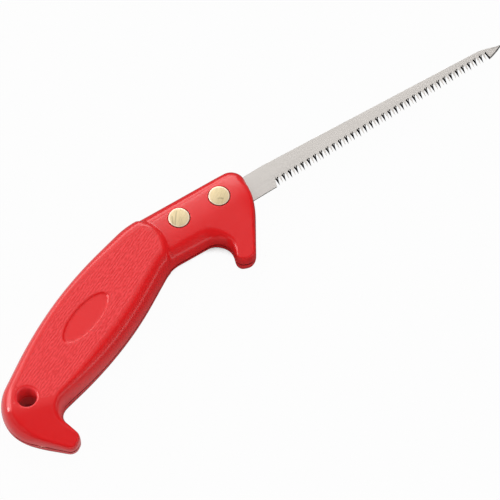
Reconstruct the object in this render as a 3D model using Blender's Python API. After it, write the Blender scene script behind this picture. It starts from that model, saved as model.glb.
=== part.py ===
"""Keyhole saw lying on its side.

A tapered pull-cut blade has its tang clamped between two moulded handle halves
by two brass compression rivets. In the plan, x follows the tooth line towards
the tip, y points from the teeth towards the spine, and z runs through the
thickness from the mid-plane. The plan starts on the tooth line at the front
rivet, and a parent empty then stands the saw on its lower grip face.
"""

import math

import bpy
from mathutils import Vector
from mathutils.geometry import delaunay_2d_cdt

MM = 0.001

# Fits
SEAM_GAP = 0.3 * MM
FIT_CLEARANCE = 0.3 * MM

# Blade
BLADE_THICKNESS = 0.9 * MM
BLADE_REACH = 171.9 * MM
BLADE_DEPTH = 14.0 * MM
HEEL_REACH = 29.7 * MM
TANG_REACH = 35.0 * MM
TANG_CORNER_RADIUS = 3.0 * MM
TIP_LENGTH = 10.4 * MM
TIP_EDGE_LENGTH = 9.0 * MM
TIP_DEPTH = 6.7 * MM
TIP_HEIGHT = 3.2 * MM
TIP_BLUNT = 0.3 * MM
TIP_BELLY = 0.5 * MM
KNEE_BLEND = 2.5 * MM
TOOTH_PITCH = 1.93 * MM
TOOTH_DEPTH = 3.7 * MM
TOOTH_BACK_ANGLE = math.radians(21.0)
FIRST_GULLET = 0.35 * MM

# Rivets
RIVET_SPACING = 23.3 * MM
FRONT_RIVET_HEIGHT = 8.0 * MM
REAR_RIVET_HEIGHT = 9.0 * MM
RIVET_HEAD_RADIUS = 5.35 * MM
RIVET_HEAD_THICKNESS = 1.6 * MM
RIVET_HEAD_CHAMFER = 0.3 * MM
RIVET_HEAD_RECESS = 0.15 * MM
RIVET_SHANK_RADIUS = 3.2 * MM
RIVET_PIN_RADIUS = 1.8 * MM
RIVET_PIN_LENGTH = 9.0 * MM

# Handle thickness, measured from the mid-plane
NECK_HALF_THICKNESS = 10.0 * MM
GRIP_HALF_THICKNESS = 11.7 * MM
FACE_WALL = 4.0 * MM
CREASE_FILLET = 0.5 * MM

# The neck is crowned towards its back edge
NECK_CROWN_START = 3.0 * MM
NECK_CROWN_RADIUS = 77.0 * MM

# Narrow edge roundings are squarer than broad ones
EDGE_SQUARING = 0.3
NARROW_ROUNDING = 2.0 * MM
BROAD_ROUNDING = 5.0 * MM

# The neck thins towards the guard's tip and the grip towards the butt hook
GUARD_SLOPE = 0.125
GUARD_SLOPE_START = 1.3 * MM
NOSE_SLOPE = 0.12
NOSE_SLOPE_START = 7.0 * MM
BUTT_SLOPE = 0.30
BUTT_SLOPE_START = 5.6 * MM
BUTT_SLOPE_TURN = math.radians(251.5)
SLOPE_BLEND = 2.5 * MM

# Rounded front end of the raised grip
GRIP_END_PLACE = (-51.1 * MM, 5.9 * MM)
GRIP_END_RADIUS = 18.5 * MM
GRIP_END_ROUNDING = 5.5 * MM

# Hanging hole
HANG_HOLE_PLACE = (-137.1 * MM, -31.1 * MM)
HANG_HOLE_RADIUS = 4.9 * MM
HANG_HOLE_FILLET = 1.2 * MM

# Bare oval recess in each grip face
OVAL_PLACE = (-91.2 * MM, -11.8 * MM)
OVAL_LENGTH = 32.2 * MM
OVAL_WIDTH = 12.6 * MM
OVAL_TURN = math.radians(19.5)
OVAL_DEPTH = 0.6 * MM

# Hollows, webs and locating pegs inside the grip
HOLLOW_COUNT = 3
HOLLOW_FINGER_RIM = 5.0 * MM
HOLLOW_BACK_RIM = 8.0 * MM
HOLLOW_DRAFT = 2.5 * MM
HOLE_BOSS_WALL = 5.0 * MM
TANG_WALL = 8.0 * MM
WEB_THICKNESS = 12.0 * MM
PEG_RADIUS = 2.5 * MM
PEG_LENGTH = 4.5 * MM
PEG_ROOT = 1.0 * MM
GUARD_PEG_PLACE = (-1.5 * MM, -13.5 * MM)
HOOK_PEG_PLACE = (-133.5 * MM, -48.0 * MM)

# Handle outline at the seam, clockwise: corner x, corner y, corner radius and
# how far in from the seam the moulded edge is rounded, in millimetres
OUTLINE_CORNERS = {
    "nose_top": (19.4, 19.9, 8.0, 6.0),
    "nose_front": (15.3, -2.1, 45.0, 2.6),
    "guard_tip_front": (-2.7, -29.7, 5.5, 1.8),
    "guard_tip_back": (-11.6, -25.7, 4.2, 1.8),
    "guard_crook": (-6.6, -9.5, 8.5, 4.5),
    "neck_under": (-18.0, -9.2, 60.0, 8.0),
    "grip_throat": (-39.3, -8.4, 18.0, 7.6),
    "grip_belly": (-82.0, -33.1, 185.0, 7.6),
    "hook_crook": (-128.6, -43.0, 8.0, 4.5),
    "hook_tip_front": (-124.4, -60.7, 4.6, 1.8),
    "hook_tip_back": (-131.4, -65.1, 4.6, 1.8),
    "butt_foot": (-140.3, -55.8, 120.0, 2.0),
    "butt_base": (-153.0, -42.4, 20.5, 5.0),
    "butt_back": (-150.6, -23.6, 20.5, 6.5),
    "grip_back": (-101.3, 8.6, 222.0, 5.5),
    "neck_back": (-48.1, 22.3, 44.0, 8.0),
}

# Finishes
PLASTIC_COLOUR = (0.62, 0.025, 0.030)
PLASTIC_ROUGHNESS = 0.35
STEEL_COLOUR = (0.60, 0.58, 0.56)
STEEL_ROUGHNESS = 0.38
BRASS_COLOUR = (0.78, 0.68, 0.44)
BRASS_ROUGHNESS = 0.32

# Fineness of the faceted surfaces
ARC_STEP = math.radians(15.0)
OUTLINE_CHORD = 9.0 * MM
EDGE_BANDS = 4
FACE_SPACING = 8.0 * MM
END_ARC_SPACING = 3.0 * MM
RIVET_SEGMENTS = 32
HOLE_SEGMENTS = 28
OVAL_SEGMENTS = 40
PEG_SEGMENTS = 16
FILLET_STEPS = 4
HOLLOW_STATIONS = 3
SHARP_ANGLE = math.radians(35.0)
CUTTER_OVERRUN = 5.0 * MM

RIVET_PLACES = {
    "front_rivet": (0.0, FRONT_RIVET_HEIGHT),
    "rear_rivet": (-RIVET_SPACING, REAR_RIVET_HEIGHT),
}
GRIP_ANGLE = math.atan2(
    GRIP_END_PLACE[1] - HANG_HOLE_PLACE[1],
    GRIP_END_PLACE[0] - HANG_HOLE_PLACE[0],
)


def clear_scene():
    for scene_object in list(bpy.data.objects):
        bpy.data.objects.remove(scene_object, do_unlink=True)


def make_material(name, colour, roughness, metallic):
    material = bpy.data.materials.new(name)
    material.use_nodes = True
    shader = material.node_tree.nodes["Principled BSDF"]
    shader.inputs["Base Color"].default_value = (*colour, 1.0)
    shader.inputs["Roughness"].default_value = roughness
    shader.inputs["Metallic"].default_value = metallic
    return material


def add_object(name, vertices, faces):
    mesh = bpy.data.meshes.new(name)
    mesh.from_pydata([tuple(vertex) for vertex in vertices], [], faces)
    mesh.validate()
    new_object = bpy.data.objects.new(name, mesh)
    bpy.context.scene.collection.objects.link(new_object)
    return new_object


def add_prism(name, low_outline, low_z, high_outline, high_z):
    """Closed solid between two counter-clockwise outlines with equal point counts."""
    count = len(low_outline)
    vertices = [(x, y, low_z) for x, y in low_outline]
    vertices += [(x, y, high_z) for x, y in high_outline]
    faces = [list(reversed(range(count))), list(range(count, 2 * count))]
    for index in range(count):
        following = (index + 1) % count
        faces.append([index, following, count + following, count + index])
    return add_object(name, vertices, faces)


def add_turned(name, profile, place, segments):
    """Solid of revolution about z; the profile of radius and height runs bottom to top."""
    vertices = []
    rings = []
    for radius, height in profile:
        if radius == 0.0:
            rings.append([len(vertices)] * segments)
            vertices.append((place[0], place[1], height))
            continue
        rings.append(list(range(len(vertices), len(vertices) + segments)))
        for step in range(segments):
            angle = 2.0 * math.pi * step / segments
            x = place[0] + radius * math.cos(angle)
            y = place[1] + radius * math.sin(angle)
            vertices.append((x, y, height))
    faces = []
    for lower, upper in zip(rings, rings[1:]):
        for step in range(segments):
            following = (step + 1) % segments
            corners = [lower[step], lower[following], upper[following], upper[step]]
            faces.append(list(dict.fromkeys(corners)))
    return add_object(name, vertices, faces)


def as_cutter(cutter):
    cutter.hide_render = True
    cutter.display_type = "WIRE"
    return cutter


def add_boolean(target, operand, operation):
    modifier = target.modifiers.new(operand.name, "BOOLEAN")
    modifier.operation = operation
    modifier.solver = "EXACT"
    modifier.object = operand


def ease(fraction):
    """Smooth step from 0 to 1."""
    held = min(max(fraction, 0.0), 1.0)
    return held * held * (3.0 - 2.0 * held)


def soft_ramp(distance):
    """Zero before the start, then rising one for one, with a short blend between."""
    if distance <= -SLOPE_BLEND:
        return 0.0
    if distance >= SLOPE_BLEND:
        return distance
    return (distance + SLOPE_BLEND) ** 2 / (4.0 * SLOPE_BLEND)


def soft_maximum(first, second):
    """The larger value, with the crease between the two filled by a small fillet."""
    overlap = max(CREASE_FILLET - abs(first - second), 0.0)
    return max(first, second) + overlap * overlap / (4.0 * CREASE_FILLET)


def rounded_share(fraction):
    """Height share of a quarter-ellipse edge at a share of its rounding width."""
    held = min(max(fraction, 0.0), 1.0)
    return math.sqrt(max(1.0 - (1.0 - held) ** 2, 0.0))


def rotated(vector, angle):
    cosine = math.cos(angle)
    sine = math.sin(angle)
    return Vector((vector.x * cosine - vector.y * sine, vector.x * sine + vector.y * cosine))


def corner_fillets():
    """Each outline corner with its turn and its fillet, which its two sides limit."""
    fillets = []
    for x, y, radius, rounding in OUTLINE_CORNERS.values():
        place = Vector((x, y)) * MM
        fillets.append({"place": place, "radius": radius * MM, "rounding": rounding * MM})
    pairs = list(zip(fillets, fillets[1:] + fillets[:1]))
    for fillet, following in pairs:
        following["heading"] = (following["place"] - fillet["place"]).normalized()
    for fillet, following in pairs:
        heading = fillet["heading"]
        leaving = following["heading"]
        fillet["turn"] = math.atan2(heading.cross(leaving), heading.dot(leaving))
        fillet["tangent"] = fillet["radius"] * math.tan(abs(fillet["turn"]) / 2.0)
        fillet["share"] = 1.0
    for fillet, following in pairs:
        side = (following["place"] - fillet["place"]).length
        share = side / (fillet["tangent"] + following["tangent"])
        fillet["share"] = min(fillet["share"], share)
        following["share"] = min(following["share"], share)
    for fillet in fillets:
        fillet["tangent"] *= fillet["share"]
        fillet["radius"] *= fillet["share"]
    return fillets


def fillet_arc(fillet):
    """Points and headings along one corner's arc, with a point at its middle."""
    heading = fillet["heading"]
    start = fillet["place"] - heading * fillet["tangent"]
    side = math.copysign(math.pi / 2.0, fillet["turn"])
    centre = start + rotated(heading, side) * fillet["radius"]
    sweep = abs(fillet["turn"])
    halves = math.ceil(max(sweep / ARC_STEP, sweep * fillet["radius"] / OUTLINE_CHORD) / 2.0)
    arc = []
    for step in range(2 * halves + 1):
        angle = fillet["turn"] * step / (2 * halves)
        arc.append((centre + rotated(start - centre, angle), rotated(heading, angle)))
    return arc


def spread_roundings(lengths, knots, total):
    """Edge rounding at each length along the closed outline, eased from knot to knot."""
    roundings = []
    for length in lengths:
        before = max((knot for knot in knots if knot[0] <= length), default=None)
        after = min((knot for knot in knots if knot[0] > length), default=None)
        if before is None:
            before = (knots[-1][0] - total, knots[-1][1])
        if after is None:
            after = (knots[0][0] + total, knots[0][1])
        share = ease((length - before[0]) / (after[0] - before[0]))
        roundings.append(before[1] + (after[1] - before[1]) * share)
    return roundings


def handle_outline():
    """Samples along the handle's seam, clockwise: point, inward normal and edge rounding."""
    fillets = corner_fillets()
    arcs = [fillet_arc(fillet) for fillet in fillets]
    samples = []
    lengths = []
    knots = []
    travelled = 0.0
    for fillet, arc, following in zip(fillets, arcs, arcs[1:] + arcs[:1]):
        arc_length = abs(fillet["turn"]) * fillet["radius"]
        knots.append((travelled + arc_length / 2.0, fillet["rounding"]))
        for step, sample in enumerate(arc[:-1]):
            samples.append(sample)
            lengths.append(travelled + arc_length * step / (len(arc) - 1))
        travelled += arc_length
        end, heading = arc[-1]
        straight = following[0][0] - end
        pieces = math.ceil(straight.length / OUTLINE_CHORD)
        for piece in range(pieces):
            samples.append((end + straight * piece / pieces, heading))
            lengths.append(travelled + straight.length * piece / pieces)
        travelled += straight.length
    roundings = spread_roundings(lengths, knots, travelled)
    return [(point, rotated(heading, -math.pi / 2.0), rounding)
            for (point, heading), rounding in zip(samples, roundings)]


def neck_height(place):
    guard_drop = GUARD_SLOPE * soft_ramp(GUARD_SLOPE_START - place.y)
    nose_drop = NOSE_SLOPE * soft_ramp(place.x - NOSE_SLOPE_START)
    crown_drop = max(place.y - NECK_CROWN_START, 0.0) ** 2 / (2.0 * NECK_CROWN_RADIUS)
    return NECK_HALF_THICKNESS - guard_drop - nose_drop - crown_drop


def grip_height(place):
    beyond_hole = (place - Vector(HANG_HOLE_PLACE)).dot(rotated(Vector((1.0, 0.0)), BUTT_SLOPE_TURN))
    return GRIP_HALF_THICKNESS - BUTT_SLOPE * soft_ramp(beyond_hole - BUTT_SLOPE_START)


def grip_end_share(place):
    """Height share left by the rounded front end of the grip."""
    from_end = place - Vector(GRIP_END_PLACE)
    if from_end.dot(rotated(Vector((1.0, 0.0)), GRIP_ANGLE)) <= 0.0:
        return 1.0
    return rounded_share((GRIP_END_RADIUS - from_end.length) / GRIP_END_ROUNDING)


def face_height(place, edge_share):
    """Height of the moulded face above the mid-plane, at a height share of the edge rounding."""
    neck = neck_height(place) * edge_share
    grip = grip_height(place) * min(edge_share, grip_end_share(place))
    return soft_maximum(neck, grip)


def edge_power(rounding):
    """Exponent of the edge curve: one for an elliptic edge, less for a squarer one."""
    breadth = (rounding - NARROW_ROUNDING) / (BROAD_ROUNDING - NARROW_ROUNDING)
    return 1.0 - EDGE_SQUARING * (1.0 - ease(breadth))


def inside_by(place, loop, margin):
    """True where a point lies inside a closed loop and keeps a margin to its corners."""
    inside = False
    for start, end in zip(loop, loop[1:] + loop[:1]):
        if (start - place).length < margin:
            return False
        if (start.y > place.y) != (end.y > place.y):
            crossing = start.x + (place.y - start.y) * (end.x - start.x) / (end.y - start.y)
            inside ^= place.x < crossing
    return inside


def grip_end_arcs(loop):
    """Points and edges that follow the crease and the shoulder of the grip's front end."""
    neck_share = NECK_HALF_THICKNESS / GRIP_HALF_THICKNESS
    crease = GRIP_END_ROUNDING * (1.0 - math.sqrt(1.0 - neck_share ** 2))
    insets = (crease, (crease + GRIP_END_ROUNDING) / 2.0, GRIP_END_ROUNDING)
    points = []
    edges = []
    for inset in insets:
        radius = GRIP_END_RADIUS - inset
        steps = math.ceil(math.pi * radius / END_ARC_SPACING)
        previous = None
        for step in range(steps + 1):
            angle = GRIP_ANGLE + math.pi * (step / steps - 0.5)
            place = Vector(GRIP_END_PLACE) + Vector((math.cos(angle), math.sin(angle))) * radius
            if not inside_by(place, loop, END_ARC_SPACING / 2.0):
                previous = None
                continue
            if previous is not None:
                edges.append((previous, len(points)))
            previous = len(points)
            points.append(place)
    return points, edges


def face_points(loop, features):
    """Staggered grid over the flat of the face, clear of its edge and of the feature points."""
    low_x = min(point.x for point in loop)
    high_x = max(point.x for point in loop)
    low_y = min(point.y for point in loop)
    high_y = max(point.y for point in loop)
    row_step = FACE_SPACING * math.sqrt(3.0) / 2.0
    points = []
    for row in range(math.ceil((high_y - low_y) / row_step)):
        for column in range(math.ceil((high_x - low_x) / FACE_SPACING)):
            x = low_x + FACE_SPACING * (column + (row % 2) / 2.0)
            place = Vector((x, low_y + row_step * row))
            if any((place - feature).length < END_ARC_SPACING for feature in features):
                continue
            if inside_by(place, loop, FACE_SPACING / 2.0):
                points.append(place)
    return points


def add_handle_body(name, side):
    """Solid half of the handle, above the seam for side 1 and below it for side -1."""
    outline = handle_outline()
    count = len(outline)
    vertices = []
    for band in range(EDGE_BANDS + 1):
        angle = math.pi / 2.0 * band / EDGE_BANDS
        for point, normal, rounding in outline:
            power = edge_power(rounding)
            place = point + normal * rounding * (1.0 - math.cos(angle) ** power)
            height = face_height(place, math.sin(angle) ** power) if band else SEAM_GAP / 2.0
            vertices.append((place.x, place.y, height))
    faces = [list(range(count))]
    for band in range(EDGE_BANDS):
        for index in range(count):
            following = (index + 1) % count
            low = band * count
            high = low + count
            faces.append([low + index, high + index, high + following, low + following])
    rim = EDGE_BANDS * count
    loop = [Vector(vertex[:2]) for vertex in vertices[rim:]]
    features, feature_edges = grip_end_arcs(loop)
    places = loop + features + face_points(loop, features)
    edges = [(count + first, count + second) for first, second in feature_edges]
    flat = delaunay_2d_cdt(places, edges, [list(range(count))], 1, MM / 1000.0)
    numbers = []
    for place, sources in zip(flat[0], flat[3]):
        on_rim = [source for source in sources if source < count]
        if on_rim:
            numbers.append(rim + on_rim[0])
            continue
        numbers.append(len(vertices))
        vertices.append((place.x, place.y, face_height(place, 1.0)))
    for triangle in flat[2]:
        first, second, third = (flat[0][corner] for corner in triangle)
        turn = (second - first).cross(third - first)
        corners = [numbers[corner] for corner in triangle]
        faces.append(corners if turn > 0.0 else corners[::-1])
    if side < 0:
        vertices = [(x, y, -z) for x, y, z in vertices]
        faces = [face[::-1] for face in faces]
    return add_object(name, vertices, faces)


def tang_rear(margin):
    """Rounded rear end of the tang, grown by a margin, from its upper corner to its lower one."""
    rear = -TANG_REACH - margin
    low = -margin
    high = BLADE_DEPTH + margin
    radius = TANG_CORNER_RADIUS + margin
    rear_corners = []
    for centre_y, start in ((high - radius, 0.25), (low + radius, 0.5)):
        for step in range(FILLET_STEPS + 1):
            angle = 2.0 * math.pi * (start + 0.25 * step / FILLET_STEPS)
            x = rear + radius + radius * math.cos(angle)
            rear_corners.append((x, centre_y + radius * math.sin(angle)))
    return rear_corners


def tooth_outline():
    """Lower edge of the blade from the plain heel to the last tooth's point."""
    back = TOOTH_DEPTH * math.tan(TOOTH_BACK_ANGLE)
    first = HEEL_REACH + back + FIRST_GULLET
    toothed = BLADE_REACH - TIP_EDGE_LENGTH - first
    points = [(HEEL_REACH, 0.0), (HEEL_REACH + back, TOOTH_DEPTH)]
    for tooth in range(int(toothed / TOOTH_PITCH) + 1):
        x = first + TOOTH_PITCH * tooth
        points += [(x, TOOTH_DEPTH), (x, 0.0), (x + back, TOOTH_DEPTH)]
    return points[:-1]


def bent(start, control, end):
    """Points along a curve that leaves start and reaches end tangent to the control point."""
    points = []
    for step in range(FILLET_STEPS + 1):
        share = step / FILLET_STEPS
        near = Vector(start).lerp(Vector(control), share)
        far = Vector(control).lerp(Vector(end), share)
        points.append(tuple(near.lerp(far, share)))
    return points


def blade_outline():
    """Counter-clockwise blade: tang, plain heel, teeth, pointed tip and tapered spine."""
    teeth = tooth_outline()
    point_low = Vector((BLADE_REACH, TIP_HEIGHT - TIP_BLUNT / 2.0))
    point_high = Vector((BLADE_REACH, TIP_HEIGHT + TIP_BLUNT / 2.0))
    edge_middle = (Vector(teeth[-1]) + point_low) / 2.0
    edge_control = edge_middle + Vector((TIP_BELLY, -TIP_BELLY))
    knee = Vector((BLADE_REACH - TIP_LENGTH, TIP_DEPTH))
    taper_start = Vector((HEEL_REACH, BLADE_DEPTH))
    knee_low = knee + (point_high - knee).normalized() * KNEE_BLEND
    knee_high = knee + (taper_start - knee).normalized() * KNEE_BLEND
    front_edge = bent(teeth[-1], edge_control, point_low)[1:]
    spine = bent(knee_low, knee, knee_high) + [tuple(taper_start)]
    return tang_rear(0.0) + teeth + front_edge + [tuple(point_high)] + spine


def add_blade():
    outline = blade_outline()
    half = BLADE_THICKNESS / 2.0
    blade = add_prism("saw_blade", outline, -half, outline, half)
    for name, place in RIVET_PLACES.items():
        radius = RIVET_SHANK_RADIUS + FIT_CLEARANCE
        reach = half + CUTTER_OVERRUN
        profile = [(0.0, -reach), (radius, -reach), (radius, reach), (0.0, reach)]
        hole = as_cutter(add_turned(name + "_blade_hole", profile, place, RIVET_SEGMENTS))
        add_boolean(blade, hole, "DIFFERENCE")
    return blade


def add_rivet(name, place):
    """Two-piece rivet: a headed tube from below and a headed pin pressed into it from above."""
    top = NECK_HALF_THICKNESS - RIVET_HEAD_RECESS
    seat = top - RIVET_HEAD_THICKNESS
    head = RIVET_HEAD_RADIUS
    face = RIVET_HEAD_RADIUS - RIVET_HEAD_CHAMFER
    brow = top - RIVET_HEAD_CHAMFER
    tube_end = seat - FIT_CLEARANCE
    pin_end = seat - RIVET_PIN_LENGTH
    bore = RIVET_PIN_RADIUS + FIT_CLEARANCE
    bore_end = pin_end - FIT_CLEARANCE
    post_profile = [
        (0.0, -top), (face, -top), (head, -brow), (head, -seat), (RIVET_SHANK_RADIUS, -seat),
        (RIVET_SHANK_RADIUS, tube_end), (bore, tube_end), (bore, bore_end), (0.0, bore_end),
    ]
    cap_profile = [
        (0.0, pin_end), (RIVET_PIN_RADIUS, pin_end), (RIVET_PIN_RADIUS, seat), (head, seat),
        (head, brow), (face, top), (0.0, top),
    ]
    post = add_turned(name + "_post", post_profile, place, RIVET_SEGMENTS)
    cap = add_turned(name + "_cap", cap_profile, place, RIVET_SEGMENTS)
    return [post, cap]


def rivet_seat_cutter(name, place):
    """Bore through both halves with a counterbore for the head at each face."""
    floor = NECK_HALF_THICKNESS - RIVET_HEAD_RECESS - RIVET_HEAD_THICKNESS - FIT_CLEARANCE
    reach = NECK_HALF_THICKNESS + CUTTER_OVERRUN
    bore = RIVET_SHANK_RADIUS + FIT_CLEARANCE
    counterbore = RIVET_HEAD_RADIUS + FIT_CLEARANCE
    profile = [
        (0.0, -reach), (counterbore, -reach), (counterbore, -floor), (bore, -floor),
        (bore, floor), (counterbore, floor), (counterbore, reach), (0.0, reach),
    ]
    return as_cutter(add_turned(name + "_seat", profile, place, RIVET_SEGMENTS))


def tang_pocket_cutter():
    half = BLADE_THICKNESS / 2.0 + FIT_CLEARANCE
    mouth = OUTLINE_CORNERS["nose_top"][0] * MM + CUTTER_OVERRUN
    outline = tang_rear(FIT_CLEARANCE)
    outline += [(mouth, -FIT_CLEARANCE), (mouth, BLADE_DEPTH + FIT_CLEARANCE)]
    return as_cutter(add_prism("tang_pocket", outline, -half, outline, half))


def hang_hole_cutter():
    """Hole through both halves, flared by the fillet at each face."""
    reach = GRIP_HALF_THICKNESS + CUTTER_OVERRUN
    mouth = HANG_HOLE_RADIUS + HANG_HOLE_FILLET
    throat = GRIP_HALF_THICKNESS - HANG_HOLE_FILLET
    flare = []
    for step in range(FILLET_STEPS + 1):
        angle = math.pi / 2.0 * step / FILLET_STEPS
        radius = mouth - HANG_HOLE_FILLET * math.cos(angle)
        flare.append((radius, throat + HANG_HOLE_FILLET * math.sin(angle)))
    upper = flare + [(mouth, reach), (0.0, reach)]
    lower = [(radius, -height) for radius, height in reversed(upper)]
    return as_cutter(add_turned("hang_hole", lower + upper, HANG_HOLE_PLACE, HOLE_SEGMENTS))


def oval_cutter(side):
    points = []
    for step in range(OVAL_SEGMENTS):
        angle = 2.0 * math.pi * step / OVAL_SEGMENTS
        spoke = Vector((OVAL_LENGTH / 2.0 * math.cos(angle), OVAL_WIDTH / 2.0 * math.sin(angle)))
        points.append(tuple(Vector(OVAL_PLACE) + rotated(spoke, OVAL_TURN)))
    floor = side * (GRIP_HALF_THICKNESS - OVAL_DEPTH)
    beyond = side * (GRIP_HALF_THICKNESS + CUTTER_OVERRUN)
    low = min(floor, beyond)
    high = max(floor, beyond)
    return as_cutter(add_prism("oval_recess", points, low, points, high))


def grip_place(along, across):
    """Plan point at a distance along the grip's axis from the hanging hole, and across it."""
    place = Vector(HANG_HOLE_PLACE) + rotated(Vector((along, across)), GRIP_ANGLE)
    return tuple(place)


def grip_sides(along):
    """How far the seam outline lies to each side of the grip's axis at one station."""
    local = [rotated(point - Vector(HANG_HOLE_PLACE), -GRIP_ANGLE) for point, _, _ in handle_outline()]
    crossings = []
    for start, end in zip(local, local[1:] + local[:1]):
        if (start.x > along) != (end.x > along):
            crossings.append(start.y + (along - start.x) * (end.y - start.y) / (end.x - start.x))
    finger_side = max(across for across in crossings if across < 0.0)
    back_side = min(across for across in crossings if across > 0.0)
    return finger_side, back_side


def hollow_spans():
    """Start and end of each hollow along the grip, with the webs between them."""
    start = HANG_HOLE_RADIUS + HOLE_BOSS_WALL
    end = (-TANG_REACH - TANG_WALL - HANG_HOLE_PLACE[0]) / math.cos(GRIP_ANGLE)
    length = (end - start - WEB_THICKNESS * (HOLLOW_COUNT - 1)) / HOLLOW_COUNT
    spans = []
    for number in range(HOLLOW_COUNT):
        near = start + number * (length + WEB_THICKNESS)
        spans.append((near, near + length))
    return spans


def hollow_outline(span, inset):
    """Counter-clockwise hollow between two stations, inside its rims by a further inset."""
    step_length = (span[1] - span[0]) / HOLLOW_STATIONS
    stations = [span[0] + step_length * step for step in range(HOLLOW_STATIONS + 1)]
    sides = [grip_sides(along) for along in stations]
    finger = []
    back = []
    for along, (finger_side, back_side) in zip(stations, sides):
        finger.append(grip_place(along, finger_side + HOLLOW_FINGER_RIM + inset))
        back.append(grip_place(along, back_side - HOLLOW_BACK_RIM - inset))
    return finger + back[::-1]


def hollow_cutters(side):
    floor = side * (GRIP_HALF_THICKNESS - FACE_WALL)
    cutters = []
    for number, span in enumerate(hollow_spans()):
        mouth = hollow_outline(span, 0.0)
        deep_span = (span[0] + HOLLOW_DRAFT, span[1] - HOLLOW_DRAFT)
        deep = hollow_outline(deep_span, HOLLOW_DRAFT)
        name = "grip_hollow_" + str(number)
        if side > 0:
            cutters.append(as_cutter(add_prism(name, mouth, 0.0, deep, floor)))
        else:
            cutters.append(as_cutter(add_prism(name, deep, floor, mouth, 0.0)))
    return cutters


def peg_places():
    spans = hollow_spans()
    webs = [grip_place((near[1] + far[0]) / 2.0, 0.0) for near, far in zip(spans, spans[1:])]
    return [GUARD_PEG_PLACE, HOOK_PEG_PLACE] + webs


def add_peg(name, place, radius, low, high):
    profile = [(0.0, low), (radius, low), (radius, high), (0.0, high)]
    return as_cutter(add_turned(name, profile, place, PEG_SEGMENTS))


def add_handle_half(name, side):
    half = add_handle_body(name, side)
    cutters = [tang_pocket_cutter(), hang_hole_cutter(), oval_cutter(side)]
    cutters += [rivet_seat_cutter(rivet, place) for rivet, place in RIVET_PLACES.items()]
    cutters += hollow_cutters(side)
    for place in peg_places():
        if side > 0:
            peg = add_peg("locating_peg", place, PEG_RADIUS, -PEG_LENGTH, SEAM_GAP + PEG_ROOT)
            add_boolean(half, peg, "UNION")
        else:
            depth = PEG_LENGTH + FIT_CLEARANCE
            cutters.append(add_peg("peg_socket", place, PEG_RADIUS + FIT_CLEARANCE, -depth, 0.0))
    for cutter in cutters:
        add_boolean(half, cutter, "DIFFERENCE")
    return half


def finish_object(part, colour, roughness, metallic):
    part.data.materials.append(make_material(part.name + "_finish", colour, roughness, metallic))
    part.data.shade_smooth()
    part.data.set_sharp_from_angle(angle=SHARP_ANGLE)


def stand_on_grip(parts):
    """Parent everything to an empty that puts the saw's lowest face, centred, at the origin."""
    corners = [vertex.co for part in parts for vertex in part.data.vertices]
    low = [min(corner[axis] for corner in corners) for axis in range(3)]
    high = [max(corner[axis] for corner in corners) for axis in range(3)]
    frame = bpy.data.objects.new("saw_frame", None)
    bpy.context.scene.collection.objects.link(frame)
    frame.location = (-(low[0] + high[0]) / 2.0, -(low[1] + high[1]) / 2.0, -low[2])
    for scene_object in bpy.data.objects:
        if scene_object is not frame:
            scene_object.parent = frame


def build():
    clear_scene()
    blade = add_blade()
    halves = [add_handle_half("right_handle_half", 1), add_handle_half("left_handle_half", -1)]
    rivets = []
    for name, place in RIVET_PLACES.items():
        rivets += add_rivet(name, place)
    finish_object(blade, STEEL_COLOUR, STEEL_ROUGHNESS, 1.0)
    for half in halves:
        finish_object(half, PLASTIC_COLOUR, PLASTIC_ROUGHNESS, 0.0)
    for rivet in rivets:
        finish_object(rivet, BRASS_COLOUR, BRASS_ROUGHNESS, 1.0)
    stand_on_grip([blade] + halves + rivets)


build()
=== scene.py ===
"""Keyhole saw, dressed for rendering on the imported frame."""

import math

import bmesh
import bpy
import numpy as np
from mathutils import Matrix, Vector
from mathutils.geometry import delaunay_2d_cdt


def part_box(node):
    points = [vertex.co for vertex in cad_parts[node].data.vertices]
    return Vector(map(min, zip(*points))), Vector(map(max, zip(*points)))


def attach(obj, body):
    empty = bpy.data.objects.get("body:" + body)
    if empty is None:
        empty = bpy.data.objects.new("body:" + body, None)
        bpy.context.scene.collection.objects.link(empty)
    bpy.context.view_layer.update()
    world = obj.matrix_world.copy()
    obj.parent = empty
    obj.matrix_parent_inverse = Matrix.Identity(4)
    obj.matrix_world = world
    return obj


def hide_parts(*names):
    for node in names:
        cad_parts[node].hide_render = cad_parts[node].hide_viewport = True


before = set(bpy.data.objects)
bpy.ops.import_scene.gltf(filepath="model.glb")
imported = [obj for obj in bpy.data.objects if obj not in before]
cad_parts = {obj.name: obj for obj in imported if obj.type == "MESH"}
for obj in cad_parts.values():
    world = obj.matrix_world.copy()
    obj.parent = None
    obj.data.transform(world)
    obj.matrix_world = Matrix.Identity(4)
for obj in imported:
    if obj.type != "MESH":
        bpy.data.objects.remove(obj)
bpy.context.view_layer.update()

MM = 0.001

# Sizes shared with the solids
SEAM_GAP = 0.3 * MM
FIT_CLEARANCE = 0.3 * MM
BLADE_THICKNESS = 0.9 * MM
BLADE_REACH = 171.9 * MM
BLADE_DEPTH = 14.0 * MM
HEEL_REACH = 29.7 * MM
TANG_REACH = 35.0 * MM
TIP_LENGTH = 10.4 * MM
TIP_EDGE_LENGTH = 9.0 * MM
TIP_DEPTH = 6.7 * MM
TIP_HEIGHT = 3.2 * MM
TIP_BLUNT = 0.3 * MM
TIP_BELLY = 0.5 * MM
KNEE_BLEND = 2.5 * MM
TOOTH_PITCH = 1.93 * MM
TOOTH_DEPTH = 3.7 * MM
TOOTH_BACK_ANGLE = math.radians(21.0)
FIRST_GULLET = 0.35 * MM
RIVET_PLACES = {"front_rivet": (0.0, 8.0 * MM), "rear_rivet": (-23.3 * MM, 9.0 * MM)}
RIVET_HEAD_RADIUS = 5.35 * MM
RIVET_HEAD_THICKNESS = 1.6 * MM
RIVET_HEAD_RECESS = 0.15 * MM
RIVET_SHANK_RADIUS = 3.2 * MM
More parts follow.
